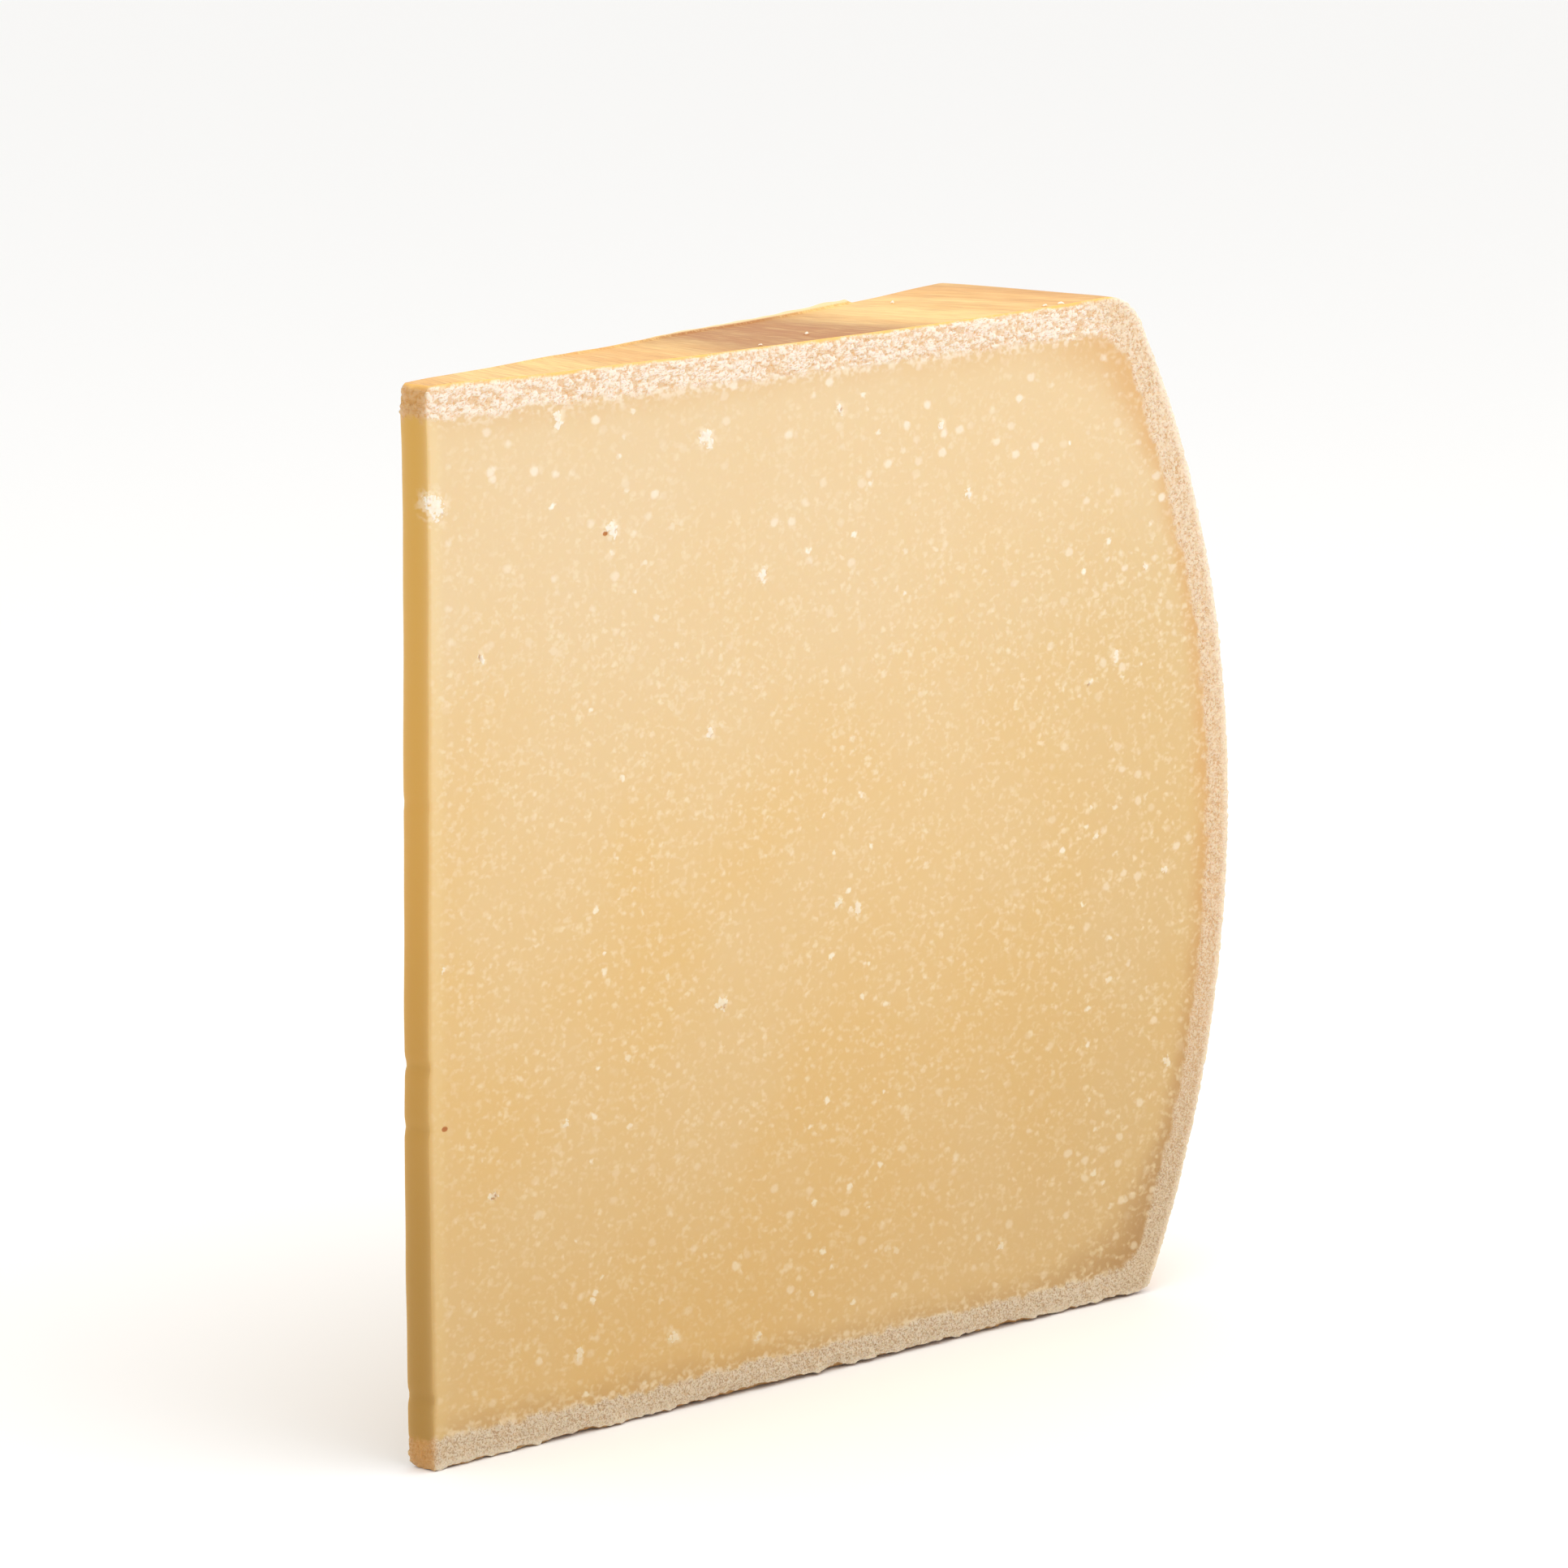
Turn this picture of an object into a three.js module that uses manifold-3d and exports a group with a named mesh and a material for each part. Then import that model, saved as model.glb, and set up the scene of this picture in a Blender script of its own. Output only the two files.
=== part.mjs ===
// A thin upright wedge of hard aged cheese, cut from the middle to the rim of a drum-shaped wheel.
// Millimetres, +Z up. The wedge stands on the wheel's flat underside. Its narrow tip, cut short of
// the wheel's axis, points to -X, the curved rim (the heel) to +X, and the cut faces look to -Y and +Y.
// The origin is the middle of the box around the wedge, at the level it stands on.

import * as THREE from 'three';
import { mergeVertices } from 'three/addons/utils/BufferGeometryUtils.js';
import Module from 'manifold-3d';

// The whole wheel: a drum with flat ends and a rim that swells outwards.
const wheelHeight = 190;
const equatorRadius = 231;
const equatorLevel = 89;
const rimSwellRadius = 198;
const topCornerRadius = 12;
const bottomCornerRadius = 3.5;

// The piece cut out of it.
const wedgeAngle = THREE.MathUtils.degToRad(11.6);
const tipWidth = 6;

// How finely the round surfaces are faceted.
const facetsAroundWheel = 240;
const stepsAlongRim = 24;
const stepsAlongCorner = 8;

// How far the cutting outline reaches past the wheel on every side.
const cutterMargin = 10;

const halfAngle = wedgeAngle / 2;
const tipDistance = tipWidth / 2 / Math.tan(halfAngle);

const wasm = await Module();
wasm.setup();

// A closed geometry becomes a solid once only its positions are left and equal corners are merged.
function solidFrom(geometry) {
  geometry.deleteAttribute('normal');
  geometry.deleteAttribute('uv');
  const merged = mergeVertices(geometry);
  const corners = merged.index.array;
  const kept = [];
  for (let i = 0; i < corners.length; i += 3) {
    const [a, b, c] = corners.slice(i, i + 3);
    const collapsed = a === b || b === c || c === a;
    if (!collapsed) kept.push(a, b, c);
  }
  return new wasm.Manifold(new wasm.Mesh({
    numProp: 3,
    vertProperties: new Float32Array(merged.attributes.position.array),
    triVerts: new Uint32Array(kept),
  }));
}

function geometryFrom(solid) {
  const { vertProperties, triVerts } = solid.getMesh();
  const geometry = new THREE.BufferGeometry();
  geometry.setAttribute('position', new THREE.BufferAttribute(vertProperties, 3));
  geometry.setIndex(new THREE.BufferAttribute(triVerts, 1));
  geometry.computeVertexNormals();
  return geometry;
}

// The centre of the arc that rounds the corner between the rim and a flat end, touching both.
function cornerCentre(cornerRadius, level) {
  const rise = level - equatorLevel;
  const reach = rimSwellRadius - cornerRadius;
  const rimCentreRadius = equatorRadius - rimSwellRadius;
  return new THREE.Vector2(rimCentreRadius + Math.sqrt(reach * reach - rise * rise), level);
}

function arcPoints(centre, radius, fromAngle, toAngle, steps) {
  const arc = new THREE.EllipseCurve(centre.x, centre.y, radius, radius, fromAngle, toAngle);
  return arc.getPoints(steps);
}

// Half the wheel's upright section, from its axis along the underside, up the rim and back on top.
function wheelProfile() {
  const rimCentre = new THREE.Vector2(equatorRadius - rimSwellRadius, equatorLevel);
  const bottomCentre = cornerCentre(bottomCornerRadius, bottomCornerRadius);
  const topCentre = cornerCentre(topCornerRadius, wheelHeight - topCornerRadius);
  const bottomAngle = Math.atan2(bottomCentre.y - rimCentre.y, bottomCentre.x - rimCentre.x);
  const topAngle = Math.atan2(topCentre.y - rimCentre.y, topCentre.x - rimCentre.x);
  return [
    new THREE.Vector2(0, 0),
    ...arcPoints(bottomCentre, bottomCornerRadius, -Math.PI / 2, bottomAngle, stepsAlongCorner),
    ...arcPoints(rimCentre, rimSwellRadius, bottomAngle, topAngle, stepsAlongRim).slice(1),
    ...arcPoints(topCentre, topCornerRadius, topAngle, Math.PI / 2, stepsAlongCorner).slice(1),
    new THREE.Vector2(0, wheelHeight),
  ];
}

function wheelGeometry() {
  const wheel = new THREE.LatheGeometry(wheelProfile(), facetsAroundWheel);
  wheel.rotateX(Math.PI / 2);
  return wheel;
}

// An upright prism on the wedge's plan, running out past the rim and past both flat ends.
function cutterGeometry() {
  const farDistance = equatorRadius + cutterMargin;
  const farHalfWidth = farDistance * Math.tan(halfAngle);
  const plan = new THREE.Shape();
  plan.moveTo(tipDistance, -tipWidth / 2);
  plan.lineTo(farDistance, -farHalfWidth);
  plan.lineTo(farDistance, farHalfWidth);
  plan.lineTo(tipDistance, tipWidth / 2);
  plan.closePath();
  const cutter = new THREE.ExtrudeGeometry(plan, {
    depth: wheelHeight + 2 * cutterMargin,
    bevelEnabled: false,
  });
  cutter.translate(0, 0, -cutterMargin);
  return cutter;
}

function wedgeGeometry() {
  const wedge = solidFrom(wheelGeometry()).intersect(solidFrom(cutterGeometry()));
  const geometry = geometryFrom(wedge);
  geometry.translate(-(tipDistance + equatorRadius) / 2, 0, 0);
  return geometry;
}

const cheese = new THREE.MeshStandardMaterial({ color: 0xeecb95, roughness: 0.55, metalness: 0 });

const wedge = new THREE.Mesh(wedgeGeometry(), cheese);
wedge.name = 'cheese_wedge';

const group = new THREE.Group();
group.add(wedge);

export default group;
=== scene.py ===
import math
import random

import bmesh
import bpy
import numpy as np
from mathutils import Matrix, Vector, noise


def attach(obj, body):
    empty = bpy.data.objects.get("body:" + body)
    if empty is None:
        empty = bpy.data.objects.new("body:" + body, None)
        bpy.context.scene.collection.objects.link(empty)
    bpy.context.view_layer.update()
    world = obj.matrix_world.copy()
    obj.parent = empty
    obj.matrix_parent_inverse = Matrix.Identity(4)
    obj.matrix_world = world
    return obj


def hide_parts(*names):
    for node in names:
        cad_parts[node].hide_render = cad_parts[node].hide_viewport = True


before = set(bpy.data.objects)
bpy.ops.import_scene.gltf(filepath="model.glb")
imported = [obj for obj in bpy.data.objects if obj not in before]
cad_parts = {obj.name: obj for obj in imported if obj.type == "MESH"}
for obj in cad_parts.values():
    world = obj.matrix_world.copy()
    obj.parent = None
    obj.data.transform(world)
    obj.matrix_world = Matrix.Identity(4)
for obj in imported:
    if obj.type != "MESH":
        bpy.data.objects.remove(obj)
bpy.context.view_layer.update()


# ---------------------------------------------------------------------------------------------
# The cheese wedge. One body of hard aged cheese, cut out of a drum-shaped wheel: two smooth cut
# faces, a narrow tip, a dry crumbly zone under the rind, and the brushed, oiled rind itself on
# the top, the heel and the underside. Nothing is fixed to it. It stands on its underside.
# ---------------------------------------------------------------------------------------------

MM = 0.001
WEDGE = "cheese_wedge"

cad_corners = np.array([v.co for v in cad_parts[WEDGE].data.vertices]) / MM
cad_corners = np.unique(cad_corners.round(3), axis=0)
tip_x = cad_corners[:, 0].min()
height = cad_corners[:, 2].max()
tip_half = cad_corners[cad_corners[:, 0] < tip_x + 0.01, 1].max()
widest = cad_corners[cad_corners[:, 1].argmax()]
flare = (widest[1] - tip_half) / (widest[0] - tip_x)
half_angle = math.atan(flare)
axis_x = tip_x - tip_half / flare

# The rim's outline on the front cut face: distance from the wheel's axis against level.
cut_y = -(cad_corners[:, 0] - axis_x) * flare
on_rim = (abs(cad_corners[:, 1] - cut_y) < 0.02) & (cad_corners[:, 0] > tip_x + 1)
rim = cad_corners[on_rim]
rim = rim[rim[:, 2].argsort()]
rim_reach = np.hypot(rim[:, 0] - axis_x, rim[:, 1])
rim_level = rim[:, 2]
rim_run = np.r_[0, np.hypot(np.diff(rim_reach), np.diff(rim_level)).cumsum()]
rim_run = rim_run / rim_run[-1]

# The block's coarse grid, and how fine it gets where the surface is rough. Lengths in mm.
COARSE = 3.6
FINE = 0.47
ACROSS_CELLS = 8
REFINING_PASSES = 4
GROWTH = 0.35  # edges may get longer by this much for each mm away from what is rough
TOP_GROWTH = 0.5
ROUGH_DEPTH = 9.5
TIP_EDGE = 0.9
TIP_REACH = 3
CLUSTER_MARGIN = 0.4
DETAIL_EDGE = 0.3
PRICK_EDGE = 0.62
OVERLENGTH = 1.45  # edges are halved when they are this many times too long


def place(along, across, up):
    """Points of the wedge in mm: along 0 tip to 1 heel, across -1 front to 1 back, up 0 to 1."""
    reach = np.interp(up, rim_run, rim_reach)
    level = np.interp(up, rim_run, rim_level)
    turn = across * half_angle
    tip_point = np.stack([np.full_like(up, tip_x), across * tip_half, up * height], -1)
    heel_point = np.stack([axis_x + reach * np.cos(turn), reach * np.sin(turn), level], -1)
    share = np.asarray(along)[..., None]
    return tip_point * (1 - share) + heel_point * share


def rind_depths(points):
    """How deep points lie under the top, the underside and the heel, in mm."""
    reach = np.hypot(points[:, 0] - axis_x, points[:, 1])
    rim_here = np.interp(points[:, 2], rim_level, rim_reach)
    return height - points[:, 2], points[:, 2], rim_here - reach


# The largest chalky crystal clusters on the front cut: distance from the tip, level and radius,
# in mm. The back cut has some at chance places. Each is a ball with smaller balls round it.
CRYSTALS = [
    (1.5, 170, 2.8), (43, 161, 1.6), (65, 175, 1.9), (79, 149, 1.6), (30, 182, 1.5),
    (131, 158, 0.9), (12, 142, 0.8), (66, 122, 1.2), (103, 85, 1.2), (98, 87, 0.9),
    (3, 89, 0.8), (69, 73, 1.4), (31, 57, 1.0), (14, 47, 1.2), (34, 15, 1.3),
    (57, 14, 1.3), (78, 10, 0.9), (140, 16, 1.1), (184, 81, 1.1), (185, 44, 1.1),
    (170, 123, 1.3), (178, 139, 0.9), (163, 119, 0.8), (98, 177, 1.2), (124, 171, 1.0),
]
BACK_CRYSTALS = 22
BACK_RUNS = (5, 170)
BACK_LEVELS = (18, 172)
BACK_RADII = (0.8, 1.8)
LOBES = 4
CORE_SHARE = 0.45  # this and the next two are shares of the cluster's radius
LOBE_PLACES = (0.45, 0.85)
LOBE_SIZES = (0.25, 0.45)
random.seed(7)
back_crystals = [
    (random.uniform(*BACK_RUNS), random.uniform(*BACK_LEVELS), random.uniform(*BACK_RADII))
    for _ in range(BACK_CRYSTALS)
]


def on_cut_face(where, level, flank):
    """A point of a cut face, -1 the front and 1 the back, this far from the tip."""
    out_to_side = flank * (tip_half + where * math.sin(half_angle))
    return np.array([tip_x + where * math.cos(half_angle), out_to_side, level])


def cluster(where, level, radius, flank):
    """A cluster's middle, its radius, and the little balls that it is made of."""
    middle = on_cut_face(where, level, flank)
    balls = [(middle, CORE_SHARE * radius)]
    for _ in range(LOBES):
        way = np.array([random.gauss(0, 1), random.gauss(0, 0.5), random.gauss(0, 1)])
        way *= random.uniform(*LOBE_PLACES) * radius / np.linalg.norm(way)
        balls.append((middle + way, random.uniform(*LOBE_SIZES) * radius))
    return middle, radius, balls


clusters = [("front", *cluster(*spot, -1)) for spot in CRYSTALS]
clusters += [("back", *cluster(*spot, 1)) for spot in back_crystals]


# Small brown pits in the front cut, wider than tall: distance from the tip, level and radius,
# in mm.
PITS = [(3.0, 60.8, 0.8), (41.2, 160.6, 0.7)]
PIT_STRETCH = (1, 1, 1.4)
pits = [(on_cut_face(where, level, -1), radius) for where, level, radius in PITS]

# Loose crumbs on top: distance from the tip, distance in from the front cut and radius, in mm.
CRUMBS_ON_TOP = [
    (156, 1.0, 0.7), (152, 1.2, 0.5), (80, 1.3, 0.45), (97, 6.5, 0.4), (140, 26, 0.4),
]


def to_front_cut(points):
    """How far points lie in from the front cut face, in mm."""
    half_width = tip_half + (points[:, 0] - tip_x) * flare
    return (half_width + points[:, 1]) * math.cos(half_angle)


def to_back_cut(points):
    """How far points lie in from the back cut face, in mm."""
    return to_front_cut(points * (1, -1, 1))


# Rows of plain pin pricks round the rim, a lattice pressed in when the wheel was young.
PRICK_SPACING = 5.0
PRICK_RADIUS = 0.9
PRICK_DEPTH = 1.0
PRICK_LEVELS = (104, 136)
equator = rim_reach.max()


def pricks_near(round_rim, level):
    """1 in the middle of a prick and 0 from its rim outwards."""
    row = np.round(level / PRICK_SPACING)
    shift = PRICK_SPACING / 2 * (row % 2)
    column = np.round((round_rim - shift) / PRICK_SPACING)
    gap = np.hypot(round_rim - shift - column * PRICK_SPACING, level - row * PRICK_SPACING)
    in_rows = (level > PRICK_LEVELS[0]) & (level < PRICK_LEVELS[1])
    return np.clip(1 - gap / PRICK_RADIUS, 0, 1) * in_rows


def wanted_edge(points, sides):
    """The longest edge that the surface may have at these points, in mm."""
    top, under, heel = rind_depths(points)
    depth = np.minimum(np.minimum(top, under), heel)
    band = FINE + GROWTH * np.clip(depth - ROUGH_DEPTH, 0, None)
    run = (points[:, 0] - tip_x) / math.cos(half_angle)
    beside_tip = TIP_EDGE + GROWTH * np.clip(run - TIP_REACH, 0, None)
    size = np.minimum(band, beside_tip)
    rind_size = np.full(len(points), COARSE / 2)
    for side, middle, radius, _ in clusters:
        gap = np.linalg.norm(points - middle, axis=1) - radius - CLUSTER_MARGIN
        near = FINE + GROWTH * np.clip(gap, 0, None)
        size = np.where(sides[side], np.minimum(size, near), size)
    for middle, radius in pits:
        gap = np.linalg.norm(points - middle, axis=1) - radius
        near = DETAIL_EDGE + GROWTH * np.clip(gap, 0, None)
        size = np.where(sides["front"], np.minimum(size, near), size)
    cut = sides["front"] | sides["back"] | sides["tip"]
    to_edge = np.minimum(to_front_cut(points), to_back_cut(points))
    top_size = np.where(sides["top"], FINE + TOP_GROWTH * to_edge, COARSE)
    rind_size = np.minimum(rind_size, top_size)
    for where, in_from_front, radius in CRUMBS_ON_TOP:
        gap = np.hypot(run - where, to_front_cut(points) - in_from_front) - radius
        near = DETAIL_EDGE + GROWTH * np.clip(gap, 0, None)
        rind_size = np.where(sides["top"], np.minimum(rind_size, near), rind_size)
    lowest, highest = PRICK_LEVELS
    from_rows = abs(points[:, 2] - (lowest + highest) / 2) - (highest - lowest) / 2
    pricked = sides["heel"] & (from_rows < 1)
    return np.where(cut, size, np.where(pricked, PRICK_EDGE, rind_size))


def sides_of(params):
    along, across, up = params.T
    return {
        "tip": along == 0, "heel": along == 1,
        "front": across == -1, "back": across == 1,
        "under": up == 0, "top": up == 1,
    }


def block_surface():
    """The wedge as a block of square cells, each corner knowing its place in the block."""
    length = cad_corners[:, 0].max() - tip_x
    cells = (round(length / COARSE), ACROSS_CELLS, round(height / COARSE))
    bm = bmesh.new()
    layers = [bm.verts.layers.float.new(name) for name in ("along", "across", "up")]
    made = {}

    def corner(cell):
        if cell not in made:
            vert = bm.verts.new((0, 0, 0))
            shares = [c / n for c, n in zip(cell, cells)]
            for layer, value in zip(layers, (shares[0], 2 * shares[1] - 1, shares[2])):
                vert[layer] = value
            made[cell] = vert
        return made[cell]

    for axis in range(3):
        u, v = [k for k in range(3) if k != axis]
        for end in (0, cells[axis]):
            for i in range(cells[u]):
                for j in range(cells[v]):
                    square = []
                    for di, dj in ((0, 0), (1, 0), (1, 1), (0, 1)):
                        cell = [0, 0, 0]
                        cell[axis], cell[u], cell[v] = end, i + di, j + dj
                        square.append(corner(tuple(cell)))
                    bm.faces.new(square)
    return bm, layers


def read_params(bm, layers):
    return np.array([[v[layer] for layer in layers] for v in bm.verts]).round(5)


def refine(bm, layers):
    """Halves edges until none is longer than the surface wants at its middle."""
    for _ in range(REFINING_PASSES):
        bm.verts.ensure_lookup_table()
        params = read_params(bm, layers)
        ends = np.array([[e.verts[0].index, e.verts[1].index] for e in bm.edges])
        first, second = params[ends[:, 0]], params[ends[:, 1]]
        middle = (first + second) / 2
        side_first, side_second = sides_of(first), sides_of(second)
        sides = {k: side_first[k] & side_second[k] for k in side_first}
        points = place(*middle.T)
        lengths = np.linalg.norm(place(*first.T) - place(*second.T), axis=1)
        too_long = lengths > OVERLENGTH * wanted_edge(points, sides)
        chosen = [e for e, split in zip(bm.edges, too_long) if split]
        bmesh.ops.subdivide_edges(bm, edges=chosen, cuts=1)
        for vert, point in zip(bm.verts, place(*read_params(bm, layers).T)):
            vert.co = point
        bmesh.ops.triangulate(bm, faces=bm.faces)
        bm.verts.index_update()


bm, layers = block_surface()
for vert, point in zip(bm.verts, place(*read_params(bm, layers).T)):
    vert.co = point
bmesh.ops.triangulate(bm, faces=bm.faces)
bm.verts.index_update()
refine(bm, layers)
bmesh.ops.recalc_face_normals(bm, faces=bm.faces)


# --- Relief: every side moves along its own normal, so edges move with both of their sides.
# Heights, depths and lump sizes are in mm. ---

params = read_params(bm, layers)
points = place(*params.T)
sides = sides_of(params)
top_depth, under_depth, heel_depth = rind_depths(points)
run = (points[:, 0] - tip_x) / math.cos(half_angle)
reach = np.hypot(points[:, 0] - axis_x, points[:, 1])
level = points[:, 2]
run_share = np.clip(run / 200, 0, 1)
on_cut = sides["front"] | sides["back"] | sides["tip"]


def grain(size, seed, chosen=None, stretch=(1, 1, 1)):
    """Smooth noise, about -1 to 1, with lumps of about this size in mm, at the chosen points."""
    offset = Vector((17.3 * seed, 5.1 * seed, 9.7 * seed))
    scaled = points / (np.array(stretch) * size)
    chosen = np.ones(len(points), bool) if chosen is None else chosen
    field = np.zeros(len(points))
    field[chosen] = [noise.noise(Vector(p) + offset) for p in scaled[chosen]]
    return field


def flakes(size, seed, chosen, stretch=(1, 1, 1)):
    """Heights 0 to 1 of little overlapping scales of about this size in mm, with thin gaps."""
    offset = Vector((3.1 * seed, 8.3 * seed, 1.9 * seed))
    field = np.zeros(len(points))
    scaled = points[chosen] / (np.array(stretch) * size)
    heights = []
    for p in scaled:
        spot = Vector(p) + offset
        gaps, seeds = noise.voronoi(spot)
        own = noise.cell(seeds[0] * 9.7)
        lean = (spot - seeds[0]).dot(noise.cell_vector(seeds[0] * 5.3)) * 0.8
        edge = min(1.0, 0.4 + (gaps[1] - gaps[0]) * 2.5)
        heights.append(edge * (0.68 + 0.25 * own + lean))
    field[chosen] = heights
    return np.clip(field, 0, 1)


def smooth(low, high, value):
    """0 below low, 1 above high and a soft step between."""
    share = np.clip((value - low) / (high - low), 0, 1)
    return share * share * (3 - 2 * share)


# Dry zone under the rind: its thickness under each side, and its ragged inner border.
TOP_BAND = 5.2
UNDER_BAND = 5.8
HEEL_BAND = 6.0
CORNER_ROUNDING = 2.2
top_band = TOP_BAND + 1.3 * run_share
under_band = UNDER_BAND - 0.5 * np.sin(np.pi * run_share)
heel_band = HEEL_BAND + 1.2 * smooth(130, 155, level) + 0.8 * smooth(60, 20, level)
into_paste = -CORNER_ROUNDING * np.log(
    np.exp(-(top_depth - top_band) / CORNER_ROUNDING)
    + np.exp(-(under_depth - under_band) / CORNER_ROUNDING)
    + np.exp(-(heel_depth - heel_band) / CORNER_ROUNDING)
)
near_rind = on_cut & (into_paste < 5)

# Next to it the paste dried a little and browned, most of all in the corners at the heel.
to_an_end = np.minimum(top_depth - top_band, under_depth - under_band)
in_corner = smooth(30, 0, heel_depth - heel_band) * smooth(30, 0, to_an_end)
dried = smooth(6 + 14 * in_corner, -1.5, into_paste + 1.2 * grain(6, 20, on_cut))
dried *= 0.4 + 0.6 * smooth(22, 0, heel_depth - heel_band) * (0.65 + 0.35 * smooth(20, 80, level))
dried = np.clip(dried, 0, 1) * on_cut
ragged = 0.9 * grain(3.2, 1, near_rind) + 0.8 * grain(1.1, 2, near_rind)
crumb = np.where(near_rind, smooth(0.7, -0.5, into_paste + ragged), 0)

# Its crumb lies in flat scales under the top, in round knots at the heel, in grains at the foot.
SCALE_SIZE = 1.25
KNOT_SIZE = 1.0
GRAIN_SIZE = 0.85
SCALE_STRETCH = (1.7, 1.7, 0.75)
KNOT_STRETCH = (0.85, 0.85, 1.1)
flaky = flakes(SCALE_SIZE, 1, near_rind, SCALE_STRETCH)
knotty = flakes(KNOT_SIZE, 2, near_rind, KNOT_STRETCH)
grainy = flakes(GRAIN_SIZE, 3, near_rind)
top_share = smooth(3, -1, top_depth - top_band)
under_share = smooth(3, -1, under_depth - under_band)
below_flakes = grainy * under_share + knotty * (1 - under_share)
flake = flaky * top_share + (1 - top_share) * below_flakes
fine_crumb = grain(0.5, 4, near_rind)

# Chalky crystal clusters and the hollows in them.
crystal = np.full(len(points), -1.0)
for _, _, radius, balls in clusters:
    for ball, ball_radius in balls:
        inside = 1 - np.linalg.norm(points - ball, axis=1) / (1.7 * ball_radius)
        crystal = np.maximum(crystal, np.where(on_cut, inside, -1))
halo = smooth(-0.9, 0.1, crystal)
crystal = np.clip(crystal, 0, None)
near_crystal = crystal > 0
hollow = smooth(0.35, 0.7, grain(1.1, 6, near_crystal)) * near_crystal

pit = np.zeros(len(points))
for middle, radius in pits:
    from_pit = np.linalg.norm((points - middle) * PIT_STRETCH, axis=1)
    pit = np.maximum(pit, 1 - from_pit / radius)
pit *= sides["front"]

# Cut faces: broad unevenness of the blade's path, crumb, crystals, softened and chipped edges.
FLAKE_HEIGHT = 0.42
CRYSTAL_HEIGHT = 0.35
HOLLOW_DEPTH = 0.9
PIT_DEPTH = 0.2
TIP_EDGE_FALL = 0.1
TIP_EDGE_WIDTH = 0.9
RIND_EDGE_FALL = 0.18
RIND_EDGE_WIDTH = 0.45
BLADE_WAVE = 45
BLADE_WAVE_HEIGHT = 0.22
BLADE_RIPPLE = 12
BLADE_RIPPLE_HEIGHT = 0.07
blade_path = BLADE_WAVE_HEIGHT * grain(BLADE_WAVE, 7)
blade_path += BLADE_RIPPLE_HEIGHT * grain(BLADE_RIPPLE, 8, on_cut)
half_width = tip_half + (points[:, 0] - tip_x) * flare
to_tip_edge = np.where(sides["tip"], tip_half - abs(points[:, 1]), run)
edge_fall = np.exp(-np.clip(to_tip_edge, 0, None) / TIP_EDGE_WIDTH)
nearest_end = np.minimum(top_depth, np.minimum(under_depth, heel_depth))
rind_fall = np.exp(-np.clip(nearest_end, 0, None) / RIND_EDGE_WIDTH)
flaky_height = FLAKE_HEIGHT * flake + 0.08 * fine_crumb - 0.2
cut_relief = blade_path + crumb * (flaky_height * smooth(0.1, 1.2, top_depth))
cut_relief += CRYSTAL_HEIGHT * crystal - HOLLOW_DEPTH * hollow * crystal - PIT_DEPTH * pit
cut_relief -= TIP_EDGE_FALL * edge_fall + RIND_EDGE_FALL * rind_fall

# The underside's cut edge broke away in large and small lumps.
BREAK_LEVEL = 6
BREAK_HEIGHT = 1.5
BREAK_DEPTH = 0.9
BIG_LUMP = 4.5
SMALL_LUMP = 1.8
near_foot = on_cut & (level < BREAK_LEVEL)
lumps = 0.6 * grain(BIG_LUMP, 9, near_foot) + 0.5 * grain(SMALL_LUMP, 10, near_foot)
foot_fall = np.exp(-level / BREAK_HEIGHT) * near_foot
cut_relief -= foot_fall * np.clip(0.55 + lumps, 0, None) * BREAK_DEPTH

# The tip bows out towards the lower half, is rounded off at the top and has a few nicks.
BOW_LEVEL = 62
BOW_REACH = 58
NICKS = ((72, 0.5), (61, 0.35), (13, 0.45), (118, 0.2))  # level and depth
NICK_REACH = 1.1
tip_relief = np.exp(-(((level - BOW_LEVEL) / BOW_REACH) ** 2))
tip_relief -= 0.5 * smooth(1.1, 0, top_depth)
tip_relief += 0.4 * np.exp(-((top_depth - 4) / 5) ** 2)
tip_relief += 0.18 * grain(16, 11, sides["tip"] | (run < 3))
for nick_level, nick_depth in NICKS:
    tip_relief -= nick_depth * np.exp(-(((level - nick_level) / NICK_REACH) ** 2))

# Top rind: slightly dished, faintly uneven, with a thin lip left along part of the back edge.
LIP_HEIGHT = 0.95
LIP_START = 12
LIP_END = 137
BACK_DROP = 0.65
MOST_DISH = 0.5
to_back = to_back_cut(points)
to_front = to_front_cut(points)
dish = 0.55 - 0.95 * (1 - ((run - 90) / 85) ** 2)
lip_here = np.clip((run - LIP_START) / (LIP_END - LIP_START), 0, 1) * smooth(138, 135, run)
lip = lip_here * smooth(0.65, 0.2, to_back) * (1 + 0.3 * grain(5, 12, to_back < 1))
back_drop = BACK_DROP * smooth(60, 150, run) * to_front / np.maximum(to_front + to_back, 1)
top_relief = np.clip(dish, -MOST_DISH, MOST_DISH) - back_drop
top_relief += 0.18 * grain(22, 13) + LIP_HEIGHT * lip
loose_crumb = np.zeros(len(points))
for where, in_from_front, radius in CRUMBS_ON_TOP:
    gap = np.hypot(run - where, to_front - in_from_front)
    loose_crumb = np.maximum(loose_crumb, np.clip(1 - gap / radius, 0, 1) * sides["top"])
top_relief += 0.5 * np.sqrt(loose_crumb) * (1 + 0.8 * grain(0.7, 21, loose_crumb > 0))

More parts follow.
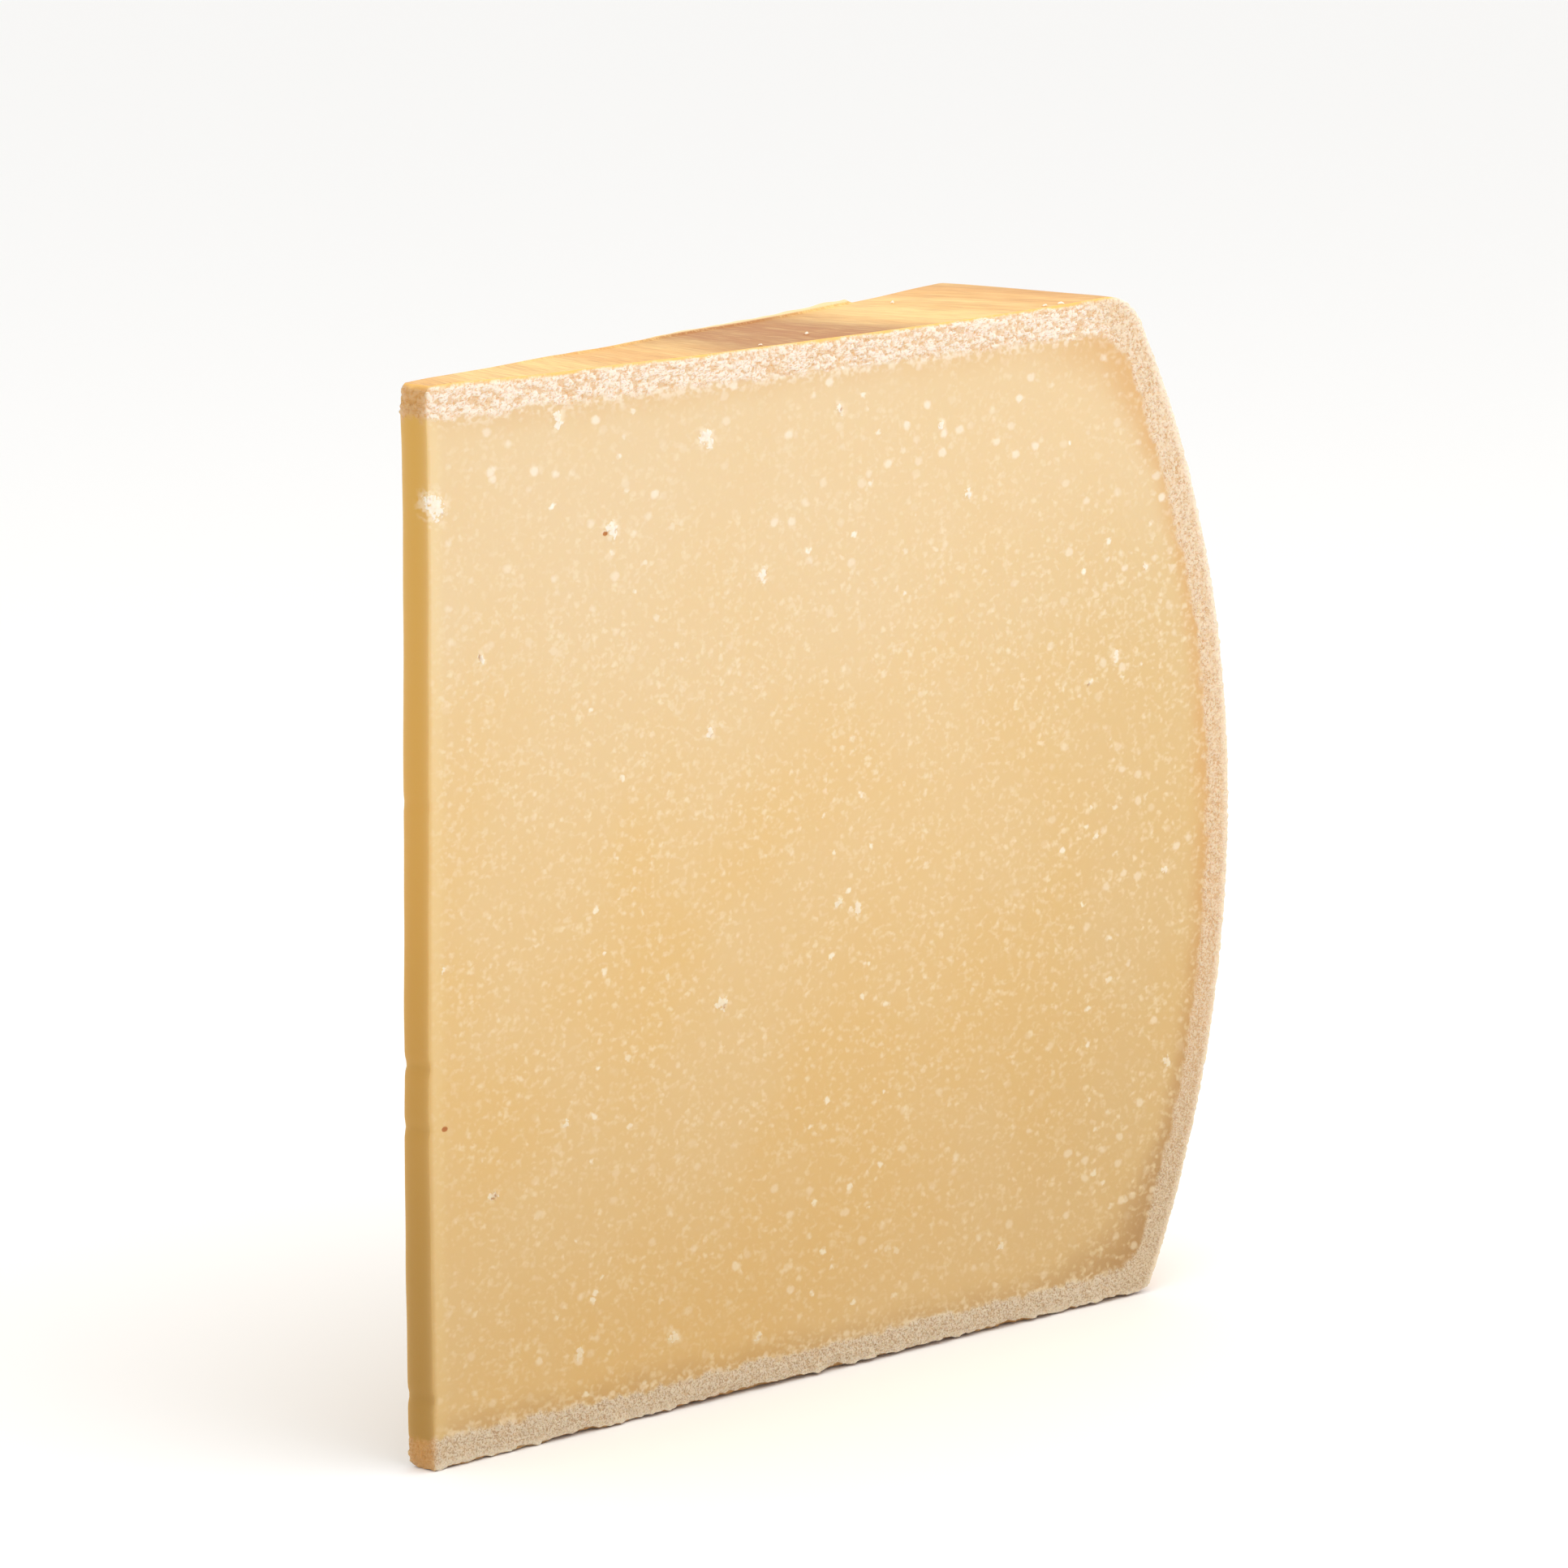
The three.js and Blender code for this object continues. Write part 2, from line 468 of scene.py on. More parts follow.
# Underside: lifts off the floor near its broken edges. Heel: a gently uneven, pricked rind.
LIFT_WIDTH = 2.2
LIFT_HEIGHT = 2.5
HEEL_SWELLS = 26
HEEL_SWELL_HEIGHT = 0.3
under_near_edge = sides["under"] | near_foot
to_cut_edge = np.where(sides["under"], np.minimum(to_front, to_back), 0)
foot_lift = 0.35 + 0.55 * np.sin(np.pi * run_share) + 0.55 * grain(5, 14, under_near_edge)
foot_lift += 0.45 * grain(1.7, 15, under_near_edge)
foot_lift = np.clip(foot_lift, 0, None) * np.exp(-to_cut_edge / LIFT_WIDTH)
foot_lift *= np.exp(-level / LIFT_HEIGHT)
heel_relief = HEEL_SWELL_HEIGHT * grain(HEEL_SWELLS, 16, sides["heel"])
heel_relief += 0.08 * grain(5, 17, sides["heel"])
round_rim = np.arctan2(points[:, 1], points[:, 0] - axis_x) * equator
pricked = np.where(sides["heel"], pricks_near(round_rim, level), 0)
heel_relief -= PRICK_DEPTH * pricked

normals = {
    "tip": (-1, 0, 0),
    "front": (-math.sin(half_angle), -math.cos(half_angle), 0),
    "back": (-math.sin(half_angle), math.cos(half_angle), 0),
    "top": (0, 0, 1),
}
TIP_FOLLOW = 4
TOP_FOLLOW = 6
moved = points.copy()
for side, relief in (
    ("tip", tip_relief + cut_relief), ("front", cut_relief), ("back", cut_relief),
    ("top", top_relief),
):
    moved += np.where(sides[side], relief, 0)[:, None] * np.array(normals[side])
# The cut faces follow the bowed tip over their first few millimetres.
moved[:, 0] -= np.where(sides["tip"], 0, tip_relief * np.exp(-run / TIP_FOLLOW))
heel_out = np.stack([points[:, 0] - axis_x, points[:, 1], np.zeros(len(points))], -1)
heel_out /= np.linalg.norm(heel_out, axis=1)[:, None]
moved += np.where(sides["heel"], heel_relief, 0)[:, None] * heel_out
# Over their first millimetres under the top they follow its unevenness too.
below_top = ~sides["top"] & (top_depth < TOP_FOLLOW)
moved[:, 2] += np.where(below_top, top_relief * (1 - top_depth / TOP_FOLLOW), 0)
moved[:, 2] += foot_lift

# What the materials are told at each point, besides the shares above: how far the painted shade of
# the tip face reaches, where the top is browned, and where the rind's skin comes over the cut's
# edge.
PATCH_RUN = 93
PATCH_REACH = (31, 15)  # from its middle to where it ends, and to where it is at its brownest
# Painted shade over the tip face. It is lighter along the face's edges, as painted light where
# they catch it, and a trace of it lies on the cut faces just beside the tip.
tip_shade = np.where(sides["tip"], 1 - 0.45 * np.exp(-to_tip_edge / 0.7), 0)
tip_shade = np.maximum(tip_shade, 0.55 * np.exp(-run / 0.3) * on_cut)
from_patch = abs(run - PATCH_RUN + 8 * grain(20, 19, sides["top"]))
browned = smooth(*PATCH_REACH, from_patch) * (top_depth < 2)
rind_sides = sides["top"] | sides["heel"] | sides["under"]
skin = np.where(on_cut, smooth(0.6, 0.15, top_depth + 0.3 * grain(2.5, 18, near_rind)), 1)

# The knife left crisp edges: an edge is sharp where both of its ends lie on the same two sides.
on_side = np.array(list(sides.values()))
for edge in bm.edges:
    first, second = [v.index for v in edge.verts]
    edge.smooth = bool((on_side[:, first] & on_side[:, second]).sum() < 2)

wedge_mesh = bpy.data.meshes.new(WEDGE)
bm.to_mesh(wedge_mesh)
bm.free()
wedge_mesh.vertices.foreach_set("co", (moved * MM).astype(np.float32).ravel())
for name in ("along", "across", "up"):
    wedge_mesh.attributes.remove(wedge_mesh.attributes[name])
for name, values in (
    ("crumb", crumb), ("flake", flake), ("skin", skin), ("crystal", crystal),
    ("halo", halo), ("hollow", hollow), ("into_paste", into_paste), ("from_tip", run),
    ("lip", lip), ("heel_depth", heel_depth), ("dried", dried), ("pricked", pricked), ("pit", pit),
    ("loose_crumb", loose_crumb), ("tip", tip_shade), ("browned", browned),
):
    layer = wedge_mesh.attributes.new(name, "FLOAT", "POINT")
    layer.data.foreach_set("value", values.astype(np.float32))
wedge_mesh.update()
wedge = bpy.data.objects.new("cheese", wedge_mesh)
bpy.context.scene.collection.objects.link(wedge)

# The rind's own triangles take the second material.
rind_triangles = np.array([
    all(rind_sides[v] for v in face.vertices)
    and any(all(sides[side][v] for v in face.vertices) for side in ("top", "heel", "under"))
    for face in wedge_mesh.polygons
])
wedge_mesh.polygons.foreach_set("material_index", rind_triangles.astype(np.int32))
wedge_mesh.polygons.foreach_set("use_smooth", np.ones(len(wedge_mesh.polygons), bool))


# --- Materials ---

def colour(code):
    """An sRGB hex colour as the linear RGBA that a shader takes."""
    shares = [int(code[i:i + 2], 16) / 255 for i in (1, 3, 5)]
    return (*[s / 12.92 if s <= 0.04045 else ((s + 0.055) / 1.055) ** 2.4 for s in shares], 1)


def add(tree, kind, inputs=None, **settings):
    """Adds a node with its settings. Inputs are values or the outputs of other nodes."""
    node = tree.nodes.new("ShaderNode" + kind)
    for key, value in settings.items():
        setattr(node, key, value)
    for key, value in (inputs or {}).items():
        if isinstance(value, bpy.types.NodeSocket):
            tree.links.new(value, node.inputs[key])
        else:
            node.inputs[key].default_value = value
    return node


def step(tree, value, low, high):
    """0 where value is at low, 1 where it is at high, softly."""
    inputs = {0: value, 1: low, 2: high, 3: 0.0, 4: 1.0}
    return add(tree, "MapRange", inputs, interpolation_type="SMOOTHSTEP").outputs[0]


def times(tree, one, other):
    return add(tree, "Math", {0: one, 1: other}, operation="MULTIPLY").outputs[0]


def blend(tree, share, below, above):
    """One colour laid over another."""
    return add(tree, "Mix", {0: share, 6: below, 7: above}, data_type="RGBA").outputs[2]


def known(tree, name):
    """A value that the mesh carries at every corner."""
    return add(tree, "Attribute", attribute_name=name).outputs["Fac"]


def millimetres(tree, stretch=(1, 1, 1), turn=(0, 0, 0)):
    """Places on the object in mm, along turned axes, with patterns stretched along each."""
    where = add(tree, "TexCoord").outputs["Object"]
    sizes = [share * MM for share in stretch]
    return add(tree, "Mapping", {0: where, 2: turn, 3: sizes}, vector_type="TEXTURE").outputs[0]


def spots(tree, where, cell, radius, core, share, chance=0):
    """Balls of this radius in mm in a share of the cells, sliced by the surface they meet."""
    balls = add(tree, "TexVoronoi", {"Vector": where, "Scale": 1 / cell})
    slices = step(tree, balls.outputs["Distance"], radius / cell, core * radius / cell)
    lot = add(tree, "SeparateColor", {0: balls.outputs["Color"]}).outputs[chance]
    milkiness = step(tree, lot, 1 - share, 1.0)
    return times(tree, slices, milkiness)


# Knife-cut paste of a hard aged cheese: waxy, straw-coloured and slightly see-through. Milky
# grains lie all through it. Under the rind it turns into a dry matt zone of pale crumbs with tan
# gaps, tan partly of their own and partly painted shade, and the chalky crystal clusters stand out
# white. Painted shade also darkens the paste towards the foot and on the narrow tip face, and
# painted light makes it paler towards the top and beside the tip's edge. Sizes in mm of what is
# drawn:
CLOUD_SIZE = 40
WANDER_SIZE = 1.4
WANDER_REACH = 1.6
DENSE_SIZE = 8
MIST_SIZE = 1.1
SMALL_GRAINS = (1.7, 0.8)  # the cell that holds one ball, and the ball's radius
SOFT_GRAINS = (3.8, 1.1)
BRIGHT_GRAINS = (5.0, 0.8)
RIPPLE_SIZE = 0.52
CRUMB_SIZE = 0.8
GRIT_SIZE = 0.6
SAND_SIZE = 0.36
UNEVENNESS = 1.2
RIPPLE_SLANT = math.radians(-13)
WRINKLE_WIDTH = 0.1  # as a share of the noise's span


def paste_material():
    material = bpy.data.materials.new("knife_cut_aged_paste")
    material.use_nodes = True
    tree = material.node_tree
    shader = tree.nodes["Principled BSDF"]

    # Where on the wedge this is. Levels, runs from the tip and depths are in mm.
    where = millimetres(tree)
    depth = known(tree, "into_paste")
    crumb_here = known(tree, "crumb")
    up = add(tree, "SeparateXYZ", {0: where}).outputs["Z"]
    low = step(tree, up, 95.0, 0.0)
    east = step(tree, known(tree, "from_tip"), 110.0, 190.0)
    heel_depth = known(tree, "heel_depth")
    tip_shade_here = known(tree, "tip")
    off_tip = step(tree, tip_shade_here, 1.0, 0.0)
    off_foot = step(tree, low, 1.0, 0.0)

    # Every milky grain gets a ragged outline from this small wandering of the places.
    wander = add(tree, "TexNoise", {"Vector": where, "Scale": 1 / WANDER_SIZE, "Detail": 2.0})
    middle_grey = (0.5, 0.5, 0.5)
    shift = add(tree, "VectorMath", {0: wander.outputs[1], 1: middle_grey}, operation="SUBTRACT")
    shift = add(tree, "VectorMath", {0: shift.outputs[0], 3: WANDER_REACH}, operation="SCALE")

    # The curd was pressed, so its grains lie a quarter wider than they are tall.
    flat = millimetres(tree, (1.25, 1.25, 1))
    ragged_flat = add(tree, "VectorMath", {0: flat, 1: shift.outputs[0]}, operation="ADD")
    ragged_flat = ragged_flat.outputs[0]

    # Straw-coloured paste, cloudy, and deeper in colour where it dried towards the rind.
    cloud = add(tree, "TexNoise", {"Vector": where, "Scale": 1 / CLOUD_SIZE, "Detail": 2.0})
    cloudy = step(tree, cloud.outputs[0], 0.36, 0.64)
    base = blend(tree, cloudy, colour("#EBCA91"), colour("#EBCE9E"))
    # Painted light: the paste is paler towards the top, where more light falls.
    base = blend(tree, times(tree, step(tree, up, 80.0, 175.0), 0.6), base, colour("#EBD0AA"))
    mid_heel = times(tree, east, step(tree, up, 175.0, 125.0))
    base = blend(tree, times(tree, mid_heel, 0.4), base, colour("#DCBF8C"))
    browning = blend(tree, low, colour("#DFAD6E"), colour("#A87A44"))
    base = blend(tree, times(tree, known(tree, "dried"), 0.82), base, browning)

    # Milky grains: cloudy at less than a millimetre, then small balls, then larger soft ones.
    dense = add(tree, "TexNoise", {"Vector": where, "Scale": 1 / DENSE_SIZE, "Detail": 2.0})
    dense = times(tree, step(tree, dense.outputs[0], 0.1, 0.55), off_tip)
    dense = times(tree, dense, step(tree, up, 240.0, 105.0))
    milk = colour("#FAEACF")
    mist = add(tree, "TexNoise", {"Vector": flat, "Scale": 1 / MIST_SIZE, "Detail": 1.5})
    mist = mist.outputs[0]
    haze = times(tree, step(tree, mist, 0.5, 0.75), dense)
    base = blend(tree, times(tree, haze, 0.45), base, milk)
    small = spots(tree, ragged_flat, *SMALL_GRAINS, 0.1, 1.0)
    base = blend(tree, times(tree, times(tree, small, dense), 0.8), base, milk)
    rounder = add(tree, "VectorMath", {0: shift.outputs[0], 3: 0.5}, operation="SCALE").outputs[0]
    rounder = add(tree, "VectorMath", {0: flat, 1: rounder}, operation="ADD").outputs[0]
    soft = spots(tree, rounder, *SOFT_GRAINS, 0.4, 1.0)
    near_edges = times(tree, step(tree, depth, 75.0, 8.0), off_tip)
    soft_here = times(tree, soft, near_edges)
    base = blend(tree, times(tree, soft_here, 0.75), base, colour("#FDF1E0"))
    bright = spots(tree, ragged_flat, *BRIGHT_GRAINS, 0.4, 0.6, 1)
    base = blend(tree, times(tree, bright, off_tip), base, colour("#FFF8EC"))

    # A little of the dry zone's crumb is smeared over the paste beside it.
    fuzz = times(tree, step(tree, depth, 2.6, 0.0), step(tree, mist, 0.42, 0.68))
    fuzz = times(tree, fuzz, step(tree, heel_depth, 8.0, 20.0))
    base = blend(tree, times(tree, fuzz, 0.75), base, colour("#FCEEDB"))

    # The tip was cut last. Painted shade: its narrow face, turned away from the light, is painted
    # a darker amber, deeper towards the foot. Painted light: a pale strip on the cut faces beside
    # the tip's edge stands for light that leaks round that thin edge.
    leaked_light = step(tree, known(tree, "from_tip"), 4.2, 1.2)
    base = blend(tree, times(tree, leaked_light, 0.5), base, colour("#F2D9A6"))
    tip_shade_colour = blend(tree, step(tree, up, 130.0, 5.0), colour("#DBA94C"), colour("#C19842"))
    base = blend(tree, tip_shade_here, base, tip_shade_colour)

    # The dry zone: pale flakes with thin tan wrinkles between them. Under the top they lie in
    # slanting ripples, elsewhere they are round crumbs, and towards the foot darker ones. The
    # wrinkles, the sandy pits and the lowest parts of the flakes are darkened, partly for their
    # own tan and partly as painted shade in these hollows.
    leaning = millimetres(tree, (2.6, 2.6, 0.85), (0, RIPPLE_SLANT, 0))
    ripples = {"Vector": leaning, "Scale": 1 / RIPPLE_SIZE, "Detail": 1.5}
    ripples = add(tree, "TexNoise", ripples)
    round_crumbs = {"Vector": where, "Scale": 1 / CRUMB_SIZE, "Detail": 1.5}
    round_crumbs = add(tree, "TexNoise", round_crumbs)
    rippled = times(tree, step(tree, up, 165.0, 180.0), step(tree, heel_depth, 6.0, 14.0))
    curls = {0: rippled, 2: round_crumbs.outputs[0], 3: ripples.outputs[0]}
    curl = add(tree, "Mix", curls, data_type="FLOAT").outputs[0]
    away = add(tree, "Math", {0: curl, 1: 0.5}, operation="SUBTRACT").outputs[0]
    away = add(tree, "Math", {0: away}, operation="ABSOLUTE").outputs[0]
    wrinkle = step(tree, away, WRINKLE_WIDTH, 0.0)
    grit = add(tree, "TexNoise", {"Vector": where, "Scale": 1 / GRIT_SIZE, "Detail": 3.0})
    grit = grit.outputs[0]
    wrinkle = times(tree, wrinkle, step(tree, grit, 0.42, 0.6))
    wrinkle = times(tree, wrinkle, step(tree, up, -40.0, 60.0))
    sandy = add(tree, "TexNoise", {"Vector": where, "Scale": 1 / SAND_SIZE, "Detail": 2.0})
    sandy = sandy.outputs[0]
    pits = times(tree, step(tree, sandy, 0.53, 0.38), step(tree, up, 160.0, 20.0))
    gap_tan_and_shade = add(tree, "Math", {0: wrinkle, 1: pits}, operation="MAXIMUM").outputs[0]
    flake_share = {0: 0.35, 2: known(tree, "flake"), 3: sandy}
    flake_share = add(tree, "Mix", flake_share, data_type="FLOAT")
    flake_share = step(tree, flake_share.outputs[0], 0.28, 0.6)
    flake_colour = blend(tree, flake_share, colour("#EBCAA4"), colour("#FAEDDD"))
    at_heel = times(tree, east, step(tree, heel_depth, 14.0, 6.0))
    flake_colour = blend(tree, times(tree, at_heel, 0.6), flake_colour, colour("#E7CAA4"))
    flake_colour = blend(tree, times(tree, low, 0.6), flake_colour, colour("#D8CAB6"))
    gap_colour = blend(tree, low, colour("#EBAA62"), colour("#AC8C6A"))
    gap_colour = blend(tree, times(tree, at_heel, off_foot), gap_colour, colour("#D0955A"))
    dry = blend(tree, times(tree, gap_tan_and_shade, 0.65), flake_colour, gap_colour)
    # Painted light: the crumb is paled within about two millimetres of the heel's surface and of
    # the floor, for light that catches and wraps round these edges.
    edge_light = add(tree, "Math", {0: heel_depth, 1: up}, operation="MINIMUM").outputs[0]
    edge_light = times(tree, step(tree, edge_light, 2.2, 0.3), 0.6)
    dry = blend(tree, edge_light, dry, colour("#FFF4E4"))
    # Painted shade: on the tip face the crumb is darkened like the paste.
    dry = blend(tree, times(tree, tip_shade_here, 0.85), dry, colour("#D29A4E"))
    base = blend(tree, crumb_here, base, dry)
    base = blend(tree, known(tree, "skin"), base, colour("#F8C573"))

    # Chalky crystals, crisp at their rims, with a brown hollow in some, and the brown pits.
    halo = times(tree, known(tree, "halo"), step(tree, mist, 0.4, 0.6))
    base = blend(tree, times(tree, halo, 0.55), base, milk)
    lumpy = add(tree, "Math", {0: grit, 1: 0.5}, operation="SUBTRACT").outputs[0]
    lumpy = {0: lumpy, 1: 1.7, 2: known(tree, "crystal")}
    lumpy = add(tree, "Math", lumpy, operation="MULTIPLY_ADD")
    chalk = step(tree, lumpy.outputs[0], 0.2, 0.42)
    chalk = times(tree, chalk, step(tree, known(tree, "crystal"), 0.0, 0.08))
    grit_share = step(tree, grit, 0.35, 0.6)
    powder = add(tree, "Mix", {0: grit_share, 2: 0.7, 3: 0.92}, data_type="FLOAT")
    base = blend(tree, times(tree, chalk, powder.outputs[0]), base, colour("#FBF3E8"))
    hole = times(tree, known(tree, "hollow"), step(tree, known(tree, "crystal"), 0.1, 0.4))
    base = blend(tree, hole, base, colour("#C98F4E"))
    in_pit = step(tree, known(tree, "pit"), 0.05, 0.35)
    base = blend(tree, in_pit, base, colour("#C07A3A"))

    # Painted shade: every colour is darkened a little, and more towards the foot, where less light
    # falls.
    # The dry crumb is darkened less.
    painted_shade = blend(tree, step(tree, up, 0.0, 110.0), colour("#DACEB4"), colour("#EBE3D2"))
    painted_shade = blend(tree, step(tree, up, 80.0, 175.0), painted_shade, colour("#F1F0EC"))
    painted_shade = blend(tree, times(tree, crumb_here, 0.4), painted_shade, colour("#FFFFFF"))
    toned = {0: 1.0, 6: base, 7: painted_shade}
    base = add(tree, "Mix", toned, data_type="RGBA", blend_type="MULTIPLY")

    # The paste is faintly uneven, and the bare crumb gritty. A wrinkle is a groove.
    uneven = add(tree, "TexNoise", {"Vector": where, "Scale": 1 / UNEVENNESS, "Detail": 4.0})
    uneven = {"Strength": 0.25, "Distance": 0.2 * MM, "Height": uneven.outputs[0]}
    soft_bump = add(tree, "Bump", uneven)
    rise = add(tree, "Math", {0: wrinkle, 1: -0.45, 2: sandy}, operation="MULTIPLY_ADD")
    bare = add(tree, "Math", {0: crumb_here, 1: known(tree, "skin")}, operation="SUBTRACT")
    gritty = times(tree, rise.outputs[0], bare.outputs[0])
    bump = add(tree, "Bump", {
        "Strength": 0.6, "Distance": 0.4 * MM, "Height": gritty,
        "Normal": soft_bump.outputs[0],
    })
    rough = add(tree, "Mix", {0: crumb_here, 2: 0.46, 3: 0.85}, data_type="FLOAT").outputs[0]
    tree.links.new(base.outputs[2], shader.inputs["Base Color"])
    tree.links.new(rough, shader.inputs["Roughness"])
    tree.links.new(bump.outputs[0], shader.inputs["Normal"])
    shader.inputs["IOR"].default_value = 1.45
    shader.inputs["Subsurface Weight"].default_value = 0.2
    shader.inputs["Subsurface Radius"].default_value = (1.0, 0.55, 0.2)
    shader.inputs["Subsurface Scale"].default_value = 3 * MM
    return material


# Brushed and oiled rind: a satin golden skin with a brown patch, crossed by brush streaks. They
# are drawn wider than the 0.1 mm of a real bristle, so that they can be seen. Sizes in mm.
STREAK_SIZE = 0.38
BROAD_STREAK = 5
MOTTLE_SIZE = 14
SWIRL_TURN = 0.0041  # how much more the streaks lean for each mm from the tip
SWIRL_START = -0.36  # and how much they lean at the tip
STREAK_STRETCH = 0.06  # a streak is about 17 times as long as it is wide


def rind_material():
    material = bpy.data.materials.new("brushed_oiled_rind")
    material.use_nodes = True
    tree = material.node_tree
    shader = tree.nodes["Principled BSDF"]
    where = millimetres(tree)

    # The brush swirled over the wheel: its streaks cross the wedge and turn with the radius.
    apart = add(tree, "SeparateXYZ", {0: where})
    leaning = {0: known(tree, "from_tip"), 1: SWIRL_TURN, 2: SWIRL_START}
    lean = add(tree, "Math", leaning, operation="MULTIPLY_ADD")
    along = add(
        tree, "Math", {0: lean.outputs[0], 1: apart.outputs["Y"], 2: apart.outputs["X"]},
        operation="MULTIPLY_ADD",
    )
    slow = times(tree, apart.outputs["Y"], STREAK_STRETCH)
    swirl = add(tree, "CombineXYZ", {0: along.outputs[0], 1: slow, 2: apart.outputs["Z"]})
    swirl = swirl.outputs[0]
    streak = add(tree, "TexNoise", {"Vector": swirl, "Scale": 1 / STREAK_SIZE, "Detail": 3.0})
    streak = streak.outputs[0]

    # Golden skin, mottled, with the brown patch and with brown streaks over it.
    broad = add(tree, "TexNoise", {"Vector": swirl, "Scale": 1 / BROAD_STREAK, "Detail": 2.0})
    mottle = add(tree, "TexNoise", {"Vector": swirl, "Scale": 1 / MOTTLE_SIZE, "Detail": 5.0})
    mottled = step(tree, mottle.outputs[0], 0.38, 0.62)
    base = blend(tree, mottled, colour("#F3CB7E"), colour("#E5AC5E"))
    base = blend(tree, times(tree, known(tree, "browned"), 0.8), base, colour("#A05C1B"))
    broadly = times(tree, step(tree, broad.outputs[0], 0.45, 0.7), 0.25)
    base = blend(tree, broadly, base, colour("#B9752F"))
    streaked = times(tree, step(tree, streak, 0.45, 0.65), 0.34)
    base = blend(tree, streaked, base, colour("#A8642A"))

    # The heel was handled more and is darker, and pale streaks run over all of it. The lip is
    # pale too, the pricks are brown, the underside is brown, partly its own skin and partly
    # painted shade next to the floor, and the loose crumbs are nearly white.
    on_heel = times(tree, step(tree, known(tree, "heel_depth"), 7.0, 0.5), 0.45)
    base = blend(tree, on_heel, base, colour("#BC8038"))
    light = times(tree, step(tree, streak, 0.5, 0.3), 0.4)
    base = blend(tree, light, base, colour("#F4D08E"))
    pale = step(tree, known(tree, "lip"), 0.25, 0.6)
    base = blend(tree, pale, base, colour("#F3D6A6"))
    base = blend(tree, times(tree, known(tree, "pricked"), 0.8), base, colour("#8C5526"))
    # Partly the rind's own darker skin and partly painted shade: brown over the underside and the
    # lowest few millimetres of the heel, next to the floor.
    under = step(tree, apart.outputs["Z"], 6.0, 0.5)
    base = blend(tree, times(tree, under, 0.75), base, colour("#8F6236"))
    crumbs = step(tree, known(tree, "loose_crumb"), 0.05, 0.3)
    base = blend(tree, crumbs, base, colour("#F6E8D4"))

    # The streaks are fine grooves under the oil.
    bump = add(tree, "Bump", {"Strength": 0.4, "Distance": 0.3 * MM, "Height": streak})
    tree.links.new(base, shader.inputs["Base Color"])
    tree.links.new(bump.outputs[0], shader.inputs["Normal"])
    shader.inputs["Roughness"].default_value = 0.5
    shader.inputs["IOR"].default_value = 1.45
    shader.inputs["Subsurface Weight"].default_value = 0.1
    shader.inputs["Subsurface Radius"].default_value = (1.0, 0.5, 0.2)
    shader.inputs["Subsurface Scale"].default_value = 2 * MM
    return material


wedge_mesh.materials.append(paste_material())
wedge_mesh.materials.append(rind_material())
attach(wedge, "root")
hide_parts(WEDGE)


# ---------------------------------------------------------------------------------------------
# The floor: a plain round board under the wedge, painted a matt near-white. It only carries
# the wedge's soft shadow.
# ---------------------------------------------------------------------------------------------

FLOOR_RADIUS = 6.0
FLOOR_CORNERS = 64
floor_mesh = bpy.data.meshes.new("floor")
floor_rim = [
    (FLOOR_RADIUS * math.cos(turn), FLOOR_RADIUS * math.sin(turn), 0)
    for turn in (2 * math.pi * i / FLOOR_CORNERS for i in range(FLOOR_CORNERS))
]
floor_mesh.from_pydata(floor_rim, [], [list(range(FLOOR_CORNERS))])
floor = bpy.data.objects.new("floor", floor_mesh)
bpy.context.scene.collection.objects.link(floor)
# Matt paint: it gives hardly any shine, only a pale even ground.
pale = bpy.data.materials.new("matt_painted_floor")
pale.use_nodes = True
pale_shader = pale.node_tree.nodes["Principled BSDF"]
pale_shader.inputs["Base Color"].default_value = colour("#FBFAF8")
pale_shader.inputs["Roughness"].default_value = 0.7
floor_mesh.materials.append(pale)


# ---------------------------------------------------------------------------------------------
# Soft studio light: a white room, and one large square softbox overhead, in front and a little
# towards the heel. The room lights everything evenly and the softbox gives the soft shadow.
# ---------------------------------------------------------------------------------------------

